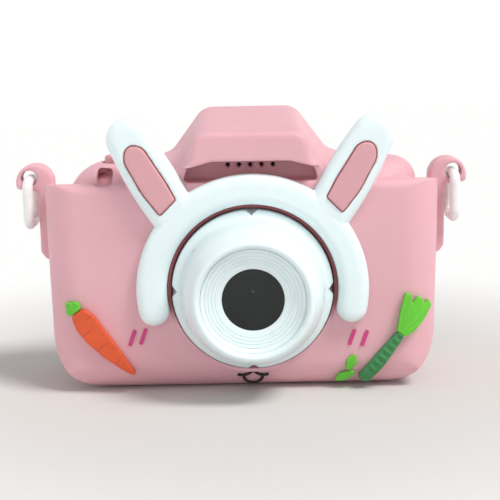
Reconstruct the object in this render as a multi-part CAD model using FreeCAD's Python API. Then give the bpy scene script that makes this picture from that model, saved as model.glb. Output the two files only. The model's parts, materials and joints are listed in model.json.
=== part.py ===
"""Children's digital camera in a soft rabbit sleeve: a two-part plastic camera with its electronics inside.

Millimetres. X runs across the camera, +Y from the front to the back, +Z up. The origin is the middle of the
flat base, halfway between the sleeve's front and back faces. Each sub-part is written to parts/NODE.step.
"""
import FreeCAD, Part
import math
import os

V = FreeCAD.Vector

# ---- sleeve and body form ----
WIDTH = 93.6              # across the top of the sleeve, without the strap lugs
DEPTH = 30.0              # front face to back face
HEIGHT = 50.7             # top of the front lip
SLEEVE = 2.2              # silicone wall
FIT = 0.1                 # gap between sleeve and camera
WALL = 1.8                # plastic wall of the camera shells
SIDE_DRAFT = 1.6          # each side leans in by this much at the base
BASE_CORNER = 14.0        # front view, lower corners
FRONT_CORNER = 9.0        # plan view, front corners
BACK_CORNER = 7.0         # plan view, back corners
FRONT_FOOT = 8.0          # side view, front edge of the base
BACK_FOOT = 4.0           # side view, back edge of the base
LIP_ROUND = 2.4           # side view, front lip
DECK_FALL = 6.1           # the deck falls this much towards the back
DECK_BACK_ROUND = 3.0     # side view, back edge of the deck

# ---- lens and hump ----
LENS_X = 2.2              # the lens and the hump sit this far right of the middle
LENS_Z = 24.9
HUMP_FRONT = 3.0          # the brow stands this far in front of the front face
HUMP_FOOT_Z = 28.0        # hidden lower end of the hump's form
HUMP_BACK_Z = 66.1        # top of the hump at the back
HUMP_FRONT_Z = 61.9       # top of the hump at the brow
HUMP_ROUND = 5.0          # long edges of the hump
HUMP_FLARE = 4.5          # where its sides sweep out into the shoulders
BROW_ROUND = 1.2          # front edge of the brow
HUMP_BACK_ROUND = 2.6     # back edge of the hump
RECESS_DEPTH = 7.0        # the recess under the brow, behind the front face
RECESS_Z = 50.2           # its ledge
BROW_Z = 55.2             # its ceiling
RECESS_HALF = 14.6        # half its width under the brow
RECESS_SPREAD = 1.2       # wider by this much at the ledge, each side
SOUND_HOLES = 5
SOUND_PITCH = 2.68
SOUND_Z = 53.4
SOUND_R = 0.6

# ---- shoulders ----
LEFT_X, LEFT_R = -28.0, 14.3
LEFT_TOP, LEFT_ROUND = 54.4, 11.0
RIGHT_X, RIGHT_R = 29.2, 13.1
RIGHT_TOP, RIGHT_ROUND = 54.2, 5.6
RAMP_HALF = 9.6           # the right shoulder's front ramp, half its width
RAMP_FRONT, RAMP_BACK = -12.6, -3.0
NOTCH = (-34.1, -30.3, 53.0)   # window in the left shoulder of the sleeve: left, right, top

# ---- rabbit band and reliefs on the front face ----
BAND_OUTER, BAND_INNER = 27.3, 20.1   # it stands clear of the barrel
BAND_THICK = 3.2
BAND_DROP = 11.3          # degrees that the band's ends reach below the lens centre
BAND_ROUND = 2.2
BACKING = 1.8             # silicone behind the ears
EAR_LEAN = 30.0           # degrees from vertical
EAR_LENGTH = 23.3
EAR_HALF_BASE, EAR_HALF_MID, EAR_HALF_TIP = 5.0, 5.75, 4.9
EAR_ROOT_ANGLE = 46.0     # where the ear leaves the band, degrees above horizontal
INLAY_RISE = 0.5          # the inner ear stands this far above its groove floor
INLAY_POCKET = 1.6        # depth of the groove that holds it
INLAY_GAP = 0.25
RELIEF = 1.8              # carrot and leek
LEAF_RELIEF = 1.2
MARK_RELIEF = 0.3
ROUND_STEPS = 4           # flats that make up a rounded edge

# ---- strap lugs and rings ----
LUG_WIDTH = 5.0
LUG_REACH = 4.5           # eyelet centre outside the sleeve's side
LUG_Z = 50.4
EYELET_R = 1.95
LOOP_REACH, LOOP_Z, LOOP_R = 3.15, 49.35, 4.55   # the lug's rounded head
LOOP_END_Z = 47.9         # its outer side ends here
LUG_PAD = 2.4             # thickness of the pad below the eyelet
LUG_FOOT_Z = 30.5
RING_WIRE = 1.25          # radius of the wire
RING_HALF_WIDTH = 4.7     # centre of the ring to its side strands
RING_DROP = 10.4          # top bar to bottom bar, centre to centre
RING_CORNER = 2.1
RING_GAP = 0.12           # between the hanging ring and the eyelet

# ---- lens ----
BARREL_R = 18.9
HOLE_R = BARREL_R + 0.4   # opening in the sleeve
BARREL_EDGE = 1.6         # rim of the barrel in front of the sleeve's face
BARREL_LENGTH = 13.6      # rim to the front lip
BARREL_WALL = 2.5
FLANGE_STEP = 1.9         # flange outside the crease
LIP_STEP = 3.8            # crease outside the crest of the front lip
TRIM_STEP = 1.3           # crest outside the trim ring
SHOULDER_R = round(BARREL_R - FLANGE_STEP, 6)
LIP_R = round(SHOULDER_R - LIP_STEP, 6)
TRIM_R = round(LIP_R - TRIM_STEP, 6)
DISH_DEPTH = 2.6
DISH_STEPS = 5
WINDOW_R = 7.1
WINDOW_THICK = 1.2
RIM_NOTCHES = 4
RIM_NOTCH_WIDTH, RIM_NOTCH_DEPTH = 3.0, 1.2
SOCKET_WALL = 2.0
MODULE = 8.5              # side of a camera module
MODULE_THICK = 2.05

# ---- shells and what they hold ----
SPLIT = 0.5               # parting plane of the shells
TONGUE, TONGUE_THICK = 1.5, 0.9
BOSS_R = 2.5
BOSS_X = 38.0
BOSS_LOW_Z, BOSS_HIGH_Z = 12.0, 36.5
SCREW_R, SCREW_HEAD_R, SCREW_HEAD = 0.95, 1.9, 1.2
SCREW_CLEARANCE = 0.2
SCREW_SUNK = 0.4
SCREW_BITE = 9.0          # length of screw beyond the parting plane
REAR_LIP = 4.5            # sleeve left round the opening in its back
LCD_WIDTH, LCD_HEIGHT, LCD_THICK = 47.8, 34.4, 1.4
LCD_X, LCD_Z = 11.4, 22.2
BACKLIGHT = 0.8
GASKET = 0.5
VIEW_WIDTH, VIEW_HEIGHT = 41.4, 31.0
PANE_WIDTH, PANE_HEIGHT, PANE_THICK = 47.0, 34.6, 1.1
BOARD_THICK = 1.2
BOARD_Y = 4.6             # front face of the main board
BOARD_HALF = 35.6
BOARD_LOW, BOARD_HIGH = 5.6, 38.0
BOARD_POSTS = [(-14.5, 7.9), (27.0, 8.6), (27.0, 35.4)]
POST_R = 2.2
BATTERY = (23.6, 5.5, 25.2)
BATTERY_X, BATTERY_Z = -35.2, 10.7
SPEAKER = (15.0, 3.2, 10.0)

# ---- buttons ----
SHUTTER_R, SHUTTER_TOP, SHUTTER_TRAVEL = 5.0, 55.6, 1.0
POWER_X, POWER_Y = 31.0, 3.5
POWER_R, POWER_TOP, POWER_TRAVEL = 3.2, 55.0, 1.0
PAD_X, PAD_Z, PAD_PITCH = -24.4, 22.0, 7.2
KEY_R, KEY_PROUD, KEY_TRAVEL = 2.9, 1.0, 0.8
KEY_GAP = 0.15            # round a button in its hole
FLANGE = 0.8
SWITCH_BODY = 1.6
DECK_BOARD_Z = 38.4       # boards under the two top buttons

# ---- rear camera and status light ----
SELFIE_Z = 53.5
SELFIE_R = 4.4
LIGHT_R = 0.8

# ---- ports in the base ----
USB_X, USB_WIDTH, USB_THICK, USB_LENGTH = 16.0, 7.6, 2.7, 5.6
CARD_X, CARD_WIDTH, CARD_THICK, CARD_LENGTH = -3.0, 11.0, 0.8, 15.0
CARD_GAP = 0.15
SOCKET_WIDTH, SOCKET_THICK, SOCKET_LENGTH = 14.0, 1.7, 14.4
PORT_MARGIN = 1.8         # sleeve cut-out round each port

# ---- worked out from the sizes above ----
FACE_Y = -DEPTH / 2
BACK_Y = DEPTH / 2
RING_TOP = LUG_Z - EYELET_R + RING_WIRE + RING_GAP   # centre of the ring's top bar
CAMERA = SLEEVE + FIT     # inset of the camera's outside from the sleeve's outside
CAVITY = CAMERA + WALL    # inset of the camera's inside
SHELL_FRONT = FACE_Y + CAMERA
SHELL_BACK = BACK_Y - CAMERA
ROOM_FRONT = FACE_Y + CAVITY
ROOM_BACK = BACK_Y - CAVITY
RIM_Y = FACE_Y - BARREL_EDGE
LIP_Y = RIM_Y - BARREL_LENGTH
DISH_Y = LIP_Y + DISH_DEPTH
HALF = WIDTH / 2
LENS_AXIS = (LENS_X, LENS_Z)
LIGHT_PLACE = (PAD_X, PAD_Z + 2 * PAD_PITCH - 1.0)
TINY_ROUND = 0.3
FAR = 200.0


# ---- outlines: lists of (a, b, corner radius), counter-clockwise ----
def moved_in(corners, d):
    """The outline with every side moved inwards by d, or outwards where d is negative."""
    found = []
    for i, (bx, bz, r) in enumerate(corners):
        ax, az, _ = corners[i - 1]
        cx, cz, _ = corners[(i + 1) % len(corners)]
        first, second = math.hypot(bx - ax, bz - az), math.hypot(cx - bx, cz - bz)
        u = ((bx - ax) / first, (bz - az) / first)
        v = ((cx - bx) / second, (cz - bz) / second)
        across = (-u[1] - v[1], u[0] + v[0])
        share = d / (1 + u[0] * v[0] + u[1] * v[1])
        bends_in = u[0] * v[1] - u[1] * v[0] > 0
        radius = 0 if r == 0 else max(r - d if bends_in else r + d, TINY_ROUND)
        found.append((bx + share * across[0], bz + share * across[1], radius))
    return found


def place(a, b, plane, at):
    return {"xz": V(a, at, b), "xy": V(a, b, at), "yz": V(at, a, b)}[plane]


def outline_wire(corners, plane, at):
    """A closed wire with its corners rounded; a radius is limited by half of the shorter side."""
    ends, edges = [], []
    for i, (bx, bz, r) in enumerate(corners):
        ax, az, _ = corners[i - 1]
        cx, cz, _ = corners[(i + 1) % len(corners)]
        before, after = math.hypot(ax - bx, az - bz), math.hypot(cx - bx, cz - bz)
        u = ((ax - bx) / before, (az - bz) / before)
        v = ((cx - bx) / after, (cz - bz) / after)
        half = math.acos(max(-1.0, min(1.0, u[0] * v[0] + u[1] * v[1]))) / 2
        reach = min(r / math.tan(half), 0.49 * before, 0.49 * after)
        if reach < 1e-6:
            ends.append((place(bx, bz, plane, at), None, place(bx, bz, plane, at)))
            continue
        middle = (u[0] + v[0], u[1] + v[1])
        size = math.hypot(*middle)
        deep = reach / math.cos(half) - reach * math.tan(half)
        arc_middle = (bx + middle[0] / size * deep, bz + middle[1] / size * deep)
        start, end = (bx + u[0] * reach, bz + u[1] * reach), (bx + v[0] * reach, bz + v[1] * reach)
        ends.append((place(*start, plane, at), place(*arc_middle, plane, at), place(*end, plane, at)))
    for i, (start, middle, end) in enumerate(ends):
        if middle is not None:
            edges.append(Part.Arc(start, middle, end).toShape())
        following = ends[(i + 1) % len(ends)][0]
        if (following - end).Length > 1e-6:
            edges.append(Part.LineSegment(end, following).toShape())
    return Part.Wire(edges)


def prism(corners, plane, low, high):
    """The outline, extruded along the axis that its plane leaves out, from low to high."""
    along = {"xz": V(0, 1, 0), "xy": V(0, 0, 1), "yz": V(1, 0, 0)}[plane]
    return Part.Face(outline_wire(corners, plane, low)).extrude(along * (high - low))


def rectangle(x0, x1, z0, z1, r=0.0):
    return [(x0, z0, r), (x1, z0, r), (x1, z1, r), (x0, z1, r)]


def box(x0, x1, y0, y1, z0, z1):
    return Part.makeBox(x1 - x0, y1 - y0, z1 - z0, V(x0, y0, z0))


def disc(x, z, r, y0, y1):
    """A cylinder along Y."""
    return Part.makeCylinder(r, y1 - y0, V(x, y0, z), V(0, 1, 0))


def drum(x, y, r, z0, z1):
    """A cylinder along Z."""
    return Part.makeCylinder(r, z1 - z0, V(x, y, z0))


def tube(x, z, outer, inner, y0, y1):
    return disc(x, z, outer, y0, y1).cut(disc(x, z, inner, y0 - 1, y1 + 1))


def turned(profile):
    """A profile of (radius, y) points, turned about the lens axis."""
    points = [V(LENS_X + r, y, LENS_Z) for r, y in profile]
    face = Part.Face(Part.makePolygon(points + points[:1]))
    return face.revolve(V(LENS_X, 0, LENS_Z), V(0, 1, 0), 360)


def edge_steps(r):
    """Pairs of (how much slimmer, how far back from the front) that step round an edge of radius r."""
    turns = [math.pi / 2 * i / ROUND_STEPS for i in range(ROUND_STEPS + 1)]
    return [(r * (1 - math.cos(t)), r * (1 - math.sin(t))) for t in turns]


def joined(shapes):
    return shapes[0].multiFuse(shapes[1:]).removeSplitter() if len(shapes) > 1 else shapes[0]


def carved(shape, cutters):
    """The shape with each cutter taken away in turn."""
    for cutter in cutters:
        shape = shape.cut(cutter)
    return shape


# ---- the body's form, which the sleeve, the shells and the cavity share ----
def front_view():
    low = HALF - SIDE_DRAFT
    above = 10.0
    high = HALF + SIDE_DRAFT * above / HEIGHT
    top = HEIGHT + above
    return [(-low, 0, BASE_CORNER), (low, 0, BASE_CORNER), (high, top, 0), (-high, top, 0)]


def plan_view():
    return [
        (-HALF, FACE_Y, FRONT_CORNER), (HALF, FACE_Y, FRONT_CORNER),
        (HALF, BACK_Y, BACK_CORNER), (-HALF, BACK_Y, BACK_CORNER),
    ]


def side_view():
    return [
        (FACE_Y, 0, FRONT_FOOT), (BACK_Y, 0, BACK_FOOT),
        (BACK_Y, HEIGHT - DECK_FALL, DECK_BACK_ROUND), (FACE_Y, HEIGHT, LIP_ROUND),
    ]


def block(inset):
    front = prism(moved_in(front_view(), inset), "xz", -DEPTH, DEPTH)
    plan = prism(moved_in(plan_view(), inset), "xy", -1, HEIGHT + 5)
    side = prism(moved_in(side_view(), inset), "yz", -WIDTH, WIDTH)
    return front.common(plan).common(side)


def shoulder(x, r, top, rounding, inset):
    """A round shoulder with a softly rounded top edge."""
    post = drum(x, 0, r - inset, HEIGHT - 14, top - inset)
    rim = [e for e in post.Edges if e.BoundBox.ZMin > top - inset - 0.01]
    return post.makeFillet(max(rounding - inset, TINY_ROUND), rim)


def ramp(inset):
    """The slope in front of the right shoulder."""
    base = HEIGHT - 10
    side = [(RAMP_FRONT, base, 0), (0, base, 0), (0, RIGHT_TOP, 0), (RAMP_BACK, RIGHT_TOP, 1.0),
            (RAMP_FRONT, HEIGHT - 0.6, 0)]
    front = [(-RAMP_HALF, base, 0), (RAMP_HALF + 0.6, base, 0), (RAMP_HALF, HEIGHT + 1.5, 3.0),
             (RAMP_HALF - 3.4, RIGHT_TOP, 3.0), (-RAMP_HALF, RIGHT_TOP, 0)]
    front = [(RIGHT_X + a, b, r) for a, b, r in front]
    slope = prism(moved_in(side, inset), "yz", 0, HALF)
    return slope.common(prism(moved_in(front, inset), "xz", FACE_Y, BACK_Y))


def shoulders(inset):
    return [shoulder(LEFT_X, LEFT_R, LEFT_TOP, LEFT_ROUND, inset),
            shoulder(RIGHT_X, RIGHT_R, RIGHT_TOP, RIGHT_ROUND, inset), ramp(inset)]


def hump_outline(foot, side, flare, crown):
    """Half of the hump's outline, given from its foot up, and its mirror image."""
    right = [(*foot, 0), (*side, 0.6), (*flare, HUMP_FLARE), (*crown, HUMP_ROUND)]
    left = [(-x, z, r) for x, z, r in reversed(right)]
    return [(LENS_X + x, z, r) for x, z, r in [*right, *left]]


def hump(inset):
    """A prism hump that narrows towards its brow, with its front and back edges rounded in steps."""
    front = hump_outline((24.0, HUMP_FOOT_Z), (19.0, 50.0), (13.9, BROW_Z + 0.4), (12.9, HUMP_FRONT_Z))
    back = hump_outline((27.0, HUMP_FOOT_Z), (26.4, 53.2), (19.4, 55.4), (11.4, HUMP_BACK_Z))
    y0, y1 = FACE_Y - HUMP_FRONT + inset, BACK_Y - inset
    wires = [outline_wire(moved_in(front, inset + slim), "xz", y0 + depth)
             for slim, depth in reversed(edge_steps(BROW_ROUND))]
    wires += [outline_wire(moved_in(back, inset + slim), "xz", y1 - depth)
              for slim, depth in edge_steps(HUMP_BACK_ROUND)]
    return Part.makeLoft(wires, True, True)


def recess(inset):
    """What is cut away under the brow, grown by inset so that every wall keeps its thickness."""
    ceiling = [(RECESS_HALF, BROW_Z - 1.5, 1.0), (RECESS_HALF - 5.5, BROW_Z, 3.0)]
    foot = RECESS_HALF + RECESS_SPREAD
    shape = [(-foot, RECESS_Z, 0.6), (foot, RECESS_Z, 0.6), *ceiling]
    shape += [(-x, z, r) for x, z, r in reversed(ceiling)]
    shape = [(LENS_X + x, z, r) for x, z, r in shape]
    pocket = prism(moved_in(shape, -inset), "xz", FACE_Y - 20, FACE_Y + RECESS_DEPTH + inset)
    below_brow = box(-HALF, HALF, FACE_Y - 20, FACE_Y + inset, 0, BROW_Z - 1.5 + inset)
    return [pocket, below_brow]


def body_form(inset):
    """The whole outside form, moved inwards by inset: 0 is the sleeve's surface."""
    whole = block(inset).multiFuse([*shoulders(inset), hump(inset)])
    return whole.cut(recess(inset)).Solids[0]


def cavity_form():
    """The room inside the camera. The brow in front of the recess's back wall is solid."""
    half = RECESS_HALF + CAVITY
    brow = box(LENS_X - half, LENS_X + half, -FAR, FACE_Y + RECESS_DEPTH + CAVITY, RECESS_Z, FAR)
    return body_form(CAVITY).cut(brow).Solids[0]


# ---- sleeve ----
def ear_point(side, along, across):
    """A point of an ear: along its length from the root, and across it, outwards positive."""
    root = math.radians(EAR_ROOT_ANGLE)
    lean = math.radians(EAR_LEAN)
    x = BAND_OUTER * math.cos(root) + along * math.sin(lean) + across * math.cos(lean)
    z = BAND_OUTER * math.sin(root) + along * math.cos(lean) - across * math.sin(lean)
    return LENS_X + side * x, LENS_Z + z


def ear_wire(side, y, slim=0.0):
    """The outline of one ear; slim takes that much off all round."""
    tip = EAR_LENGTH - EAR_HALF_TIP

    def at(along, across):
        x, z = ear_point(side, along, across)
        return V(x, y, z)

    base, mid, top = EAR_HALF_BASE - slim, EAR_HALF_MID - slim, EAR_HALF_TIP - slim
    return Part.Wire([
        Part.Arc(at(-4 + slim, base), at(8, mid), at(tip, top)).toShape(),
        Part.Arc(at(tip, top), at(EAR_LENGTH - slim, 0), at(tip, -top)).toShape(),
        Part.Arc(at(tip, -top), at(8, -mid), at(-4 + slim, -base)).toShape(),
        Part.LineSegment(at(-4 + slim, -base), at(-4 + slim, base)).toShape(),
    ])


def band_section(y0, slim, r):
    """Half of the band's rounded section as (distance from its middle, y) points, outer side first."""
    half = (BAND_OUTER - BAND_INNER) / 2 - slim
    steps = edge_steps(r) if r else [(0, 0)]
    return [(half - narrower, y0 + depth) for narrower, depth in steps]


def band_arch(y0, y1, slim=0.0, r=0.0):
    """The arch round the top of the lens, with round ends and, given r, a rounded front."""
    middle = (BAND_OUTER + BAND_INNER) / 2
    right = [(band_section(y0, slim, r)[0][0], y1), *band_section(y0, slim, r)]
    left = [(-a, y) for a, y in reversed(right)]
    drop = math.radians(BAND_DROP)
    axis = V(0, 1, 0)
    outline = [V(LENS_X + middle + a, y, LENS_Z) for a, y in [*right, *left, right[0]]]
    ring = Part.Face(Part.makePolygon(outline))
    ring.rotate(V(LENS_X, 0, LENS_Z), axis, BAND_DROP)
    solids = [ring.revolve(V(LENS_X, 0, LENS_Z), axis, -180 - 2 * BAND_DROP)]
    for side in (-1, 1):
        x, z = LENS_X + side * middle * math.cos(drop), LENS_Z - middle * math.sin(drop)
        half = [V(x, y1, z), *[V(x + a, y, z) for a, y in right], V(x, y0, z), V(x, y1, z)]
        solids.append(Part.Face(Part.makePolygon(half)).revolve(V(x, 0, z), axis, 360))
    return joined(solids)


def lug(side):
    """A strap lug: a pad on the sleeve's side that rises into a round head with an eyelet."""
    x, pad, loop = HALF + LUG_REACH, HALF + LUG_PAD, HALF + LOOP_REACH
    root = HALF - 1.4
    half = LUG_WIDTH / 2
    pad_shape = [(root, LUG_FOOT_Z, 0), (pad - 1.4, LUG_FOOT_Z, 1.0), (pad, LUG_FOOT_Z + 1.8, 1.0),
                 (pad, LOOP_END_Z + 1, 0), (root, LOOP_END_Z + 1, 0)]
    neck = rectangle(root, loop, LOOP_END_Z - 3, LOOP_Z)
    far = loop + LOOP_R + 1
    trim = [(pad, LOOP_Z - LOOP_R - 1, 0), (far, LOOP_Z - LOOP_R - 1, 0), (far, LOOP_END_Z, 0),
            (pad, LOOP_END_Z - 0.6, 1.0)]
    solids = [prism(pad_shape, "xz", -half, half), prism(neck, "xz", -half, half).cut(
        box(root - 1, loop - LOOP_R, -half, half, LOOP_Z - 1, LOOP_Z + 1))]
    head = disc(loop, LOOP_Z, LOOP_R, -half, half)
    whole = joined([*solids, head]).cut([prism(trim, "xz", -FAR, FAR), disc(x, LUG_Z, EYELET_R, -FAR, FAR)])
    return whole if side > 0 else whole.mirror(V(0, 0, 0), V(1, 0, 0))


def port_windows():
    usb = rectangle(USB_X - USB_WIDTH / 2 - PORT_MARGIN, USB_X + USB_WIDTH / 2 + PORT_MARGIN,
                    BOARD_Y - USB_THICK - PORT_MARGIN, BOARD_Y + PORT_MARGIN, 1.5)
    card = rectangle(CARD_X - CARD_WIDTH / 2 - PORT_MARGIN, CARD_X + CARD_WIDTH / 2 + PORT_MARGIN,
                     BOARD_Y - SOCKET_THICK - PORT_MARGIN, BOARD_Y + PORT_MARGIN, 1.5)
    return [prism(shape, "xy", -1, SLEEVE + FIT) for shape in (usb, card)]


def sound_holes(r):
    y0, y1 = FACE_Y + RECESS_DEPTH - 1, FACE_Y + RECESS_DEPTH + CAVITY + 1
    first = LENS_X - SOUND_PITCH * (SOUND_HOLES - 1) / 2
    return [disc(first + SOUND_PITCH * i, SOUND_Z, r, y0, y1) for i in range(SOUND_HOLES)]


def sleeve(form, camera):
    low, high = HALF - SIDE_DRAFT - REAR_LIP, HALF - REAR_LIP
    rear_top = HEIGHT - DECK_FALL - REAR_LIP
    rear = [(-low, REAR_LIP, 8.0), (low, REAR_LIP, 8.0), (high, rear_top, 8.0), (-high, rear_top, 8.0)]
    cuts = [
        camera,
        prism(rear, "xz", SHELL_BACK - 1, BACK_Y + 1),
        disc(*LENS_AXIS, HOLE_R, FACE_Y - 5, FACE_Y + CAVITY),
        disc(LENS_X, SELFIE_Z, SELFIE_R + 1.0, SHELL_BACK - 1, BACK_Y + 1),
        drum(LEFT_X, 0, SHUTTER_R + 3 * KEY_GAP, LEFT_TOP - 8, LEFT_TOP + 5),
        drum(POWER_X, POWER_Y, POWER_R + 3 * KEY_GAP, RIGHT_TOP - 6, RIGHT_TOP + 5),
        box(NOTCH[0], NOTCH[1], FACE_Y - 5, -4, HEIGHT - 1.2, NOTCH[2]),
        *port_windows(),
        *sound_holes(SOUND_R),
    ]
    backing = V(0, BACKING, 0)
    tabs = [Part.Face(ear_wire(side, FACE_Y, 0.3)).extrude(backing) for side in (-1, 1)]
    tabs.append(band_arch(FACE_Y, FACE_Y + BACKING, 0.3))
    lugs = [lug(side).cut(camera) for side in (-1, 1)]
    skin = carved(form, cuts)
    return skin.multiFuse([*tabs, *lugs]).removeSplitter()


def inlay_outline(gap):
    """The inner ear in ear coordinates: (along, across, corner radius)."""
    shape = [(6.0, -2.75, 20.0), (15.6, -2.35, 3.2), (17.6, 0.6, 2.2), (15.0, 3.2, 4.5), (6.0, 3.5, 14.0),
             (-0.4, 2.6, 0.5), (1.0, -2.6, 0.5)]
    return moved_in(shape, gap)


def inlay(side, y0, y1, gap):
    points = [(*ear_point(side, along, across), r) for along, across, r in inlay_outline(gap)]
    return prism(points, "xz", y0, y1)


def ear(side, front):
    wires = [ear_wire(side, front + depth, slim) for slim, depth in edge_steps(BAND_ROUND)]
    return Part.makeLoft([ear_wire(side, FACE_Y), *wires], True, True)


def bunny_band():
    """Arch and both ears, with a pocket in each ear for its inner ear."""
    front = FACE_Y - BAND_THICK
    ears = [ear(side, front).cut(disc(*LENS_AXIS, BAND_OUTER - 2, front - 1, FACE_Y + 1)) for side in (-1, 1)]
    whole = joined([band_arch(front, FACE_Y, 0, BAND_ROUND), *ears])
    pockets = [inlay(side, front - 1, front + INLAY_POCKET, 0) for side in (-1, 1)]
    return whole.cut(pockets)


def ear_inlay(side):
    front = FACE_Y - BAND_THICK
    return inlay(side, front - INLAY_RISE, front + INLAY_POCKET, INLAY_GAP)


def relief(shapes, form, height):
    """Flat shapes laid on the sleeve's surface with an even height."""
    tall = [prism(s, "xz", FACE_Y - height - 1, 0) for s in shapes]
    grown = body_form(-height)
    return Part.makeCompound([s for t in tall for s in t.common(grown).cut(form.copy()).Solids])


def turned_shape(shape, at, degrees):
    """(along, across, radius) points, turned by degrees from +X and moved to a point of the face."""
    c, s = math.cos(math.radians(degrees)), math.sin(math.radians(degrees))
    return [(at[0] + a * c - b * s, at[1] + a * s + b * c, r) for a, b, r in shape]


def petal(length, half, tip_round=0.6):
    return [(0, -half * 0.4, 0.5), (length * 0.55, -half, half), (length, 0, tip_round),
            (length * 0.55, half, half), (0, half * 0.4, 0.5)]


CARROT_TIP, CARROT_TOP = (-26.6, 5.4), (-39.0, 19.6)
LEEK_FOOT, LEEK_NECK = (28.6, 3.0), (36.9, 13.6)


def aim(a, b):
    """Length and direction from a to b."""
    return math.hypot(b[0] - a[0], b[1] - a[1]), math.degrees(math.atan2(b[1] - a[1], b[0] - a[0]))


def carrot_root(form):
    length, angle = aim(CARROT_TOP, CARROT_TIP)
    end = length + 0.8
    shape = [(-0.8, -1.4, 1.2), (2.5, -2.7, 3.0), (6.2, -2.9, 6.0), (11.6, -2.4, 8.0), (end - 2.0, -1.0, 2.0),
             (end, -0.3, 0.4), (end - 0.1, 0.5, 0.3), (12.5, 1.6, 8.0), (7.9, 2.1, 6.0), (2.8, 2.7, 3.0),
             (-0.4, 2.2, 1.2)]
    return relief([turned_shape(shape, CARROT_TOP, angle)], form, RELIEF)


def carrot_leaves(form):
    length, angle = aim(CARROT_TOP, CARROT_TIP)
    shape = [(-0.9, -1.5, 0.4), (-0.6, 1.7, 0.4), (-2.0, 2.2, 0.5), (-3.0, 1.4, 0.4), (-3.1, 0.7, 0.1),
             (-4.1, 0.2, 0.4), (-3.6, -0.8, 0.4), (-2.8, -0.9, 0.1), (-2.3, -1.8, 0.5)]
    shape.reverse()
    return relief([turned_shape(shape, CARROT_TOP, angle)], form, RELIEF)


def leek_stem(form):
    length, angle = aim(LEEK_FOOT, LEEK_NECK)
    shape = [(-1.3, -1.6, 1.3), (length * 0.4, -1.65, 6.0), (length, -1.0, 0.3),
             (length, 1.0, 0.3), (length * 0.4, 1.65, 6.0), (-1.3, 1.6, 1.3)]
    return relief([turned_shape(shape, LEEK_FOOT, angle)], form, RELIEF)


def leek_leaves(form):
    length, angle = aim(LEEK_FOOT, LEEK_NECK)
    shape = [(0.1, -1.2, 0.4), (2.8, -2.2, 2.0), (6.3, -2.4, 2.0), (9.7, -1.9, 0.4), (10.4, -0.6, 0.3),
             (9.0, 0.0, 0.1), (9.7, 1.0, 0.3), (9.6, 2.3, 0.3), (7.4, 2.4, 0.1), (9.0, 4.0, 0.3),
             (8.5, 5.3, 0.4), (3.7, 3.2, 2.0), (0.1, 1.2, 0.4)]
    return relief([turned_shape(shape, LEEK_NECK, angle)], form, RELIEF)


def sprout_leaves(form):
    upper = turned_shape(petal(4.6, 1.3), (24.4, 4.9), 66)
    lower = turned_shape(petal(5.6, 1.35), (26.0, 4.2), 206)
    return relief([upper, lower], form, LEAF_RELIEF)


def cheek_marks(form):
    """Two slanted strokes under each end of the band."""
    def stroke(x, z):
        return turned_shape(rectangle(-2.05, 2.05, -0.45, 0.45, 0.4), (x, z), 70)
    places = [(-26.4, 13.6), (-23.8, 13.9), (25.5, 12.8), (28.5, 12.5)]
    return relief([stroke(*p) for p in places], form, MARK_RELIEF)


def mouth_line(form):
    """A small drawn mouth under the lens: two raised upper curves over a round chin."""
    at = V(LENS_X - 0.2, 0, 3.9)
    width, chin, peak, line = 3.7, 2.75, 1.3, 0.36

    def stroke(start, middle, end):
        return Part.Arc(at + V(*start), at + V(*middle), at + V(*end)).toShape()

    def ribbon(edge):
        points = edge.discretize(9)
        outer, inner = [], []
        for i, p in enumerate(points):
            ahead, behind = points[min(i + 1, 8)], points[max(i - 1, 0)]
            direction = (ahead - behind).normalize()
            side = V(-direction.z, 0, direction.x) * line
            outer.append(p + side)
            inner.append(p - side)
        ring = [V(p.x, FACE_Y - MARK_RELIEF - 1, p.z) for p in [*outer, *reversed(inner)]]
        face = Part.Face(Part.makePolygon([*ring, ring[0]]))
        return face.extrude(V(0, 6, 0))

    strokes = [
        stroke((-width, 0, 0), (-width * 0.4, 0, 0.0), (0, 0, peak)),
        stroke((0, 0, peak), (width * 0.4, 0, 0.0), (width, 0, 0)),
        stroke((-width * 0.6, 0, 0), (0, 0, -chin), (width * 0.6, 0, 0)),
    ]
    drawn = joined([ribbon(s) for s in strokes])
    return drawn.common(body_form(-MARK_RELIEF)).cut(form.copy())


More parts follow.
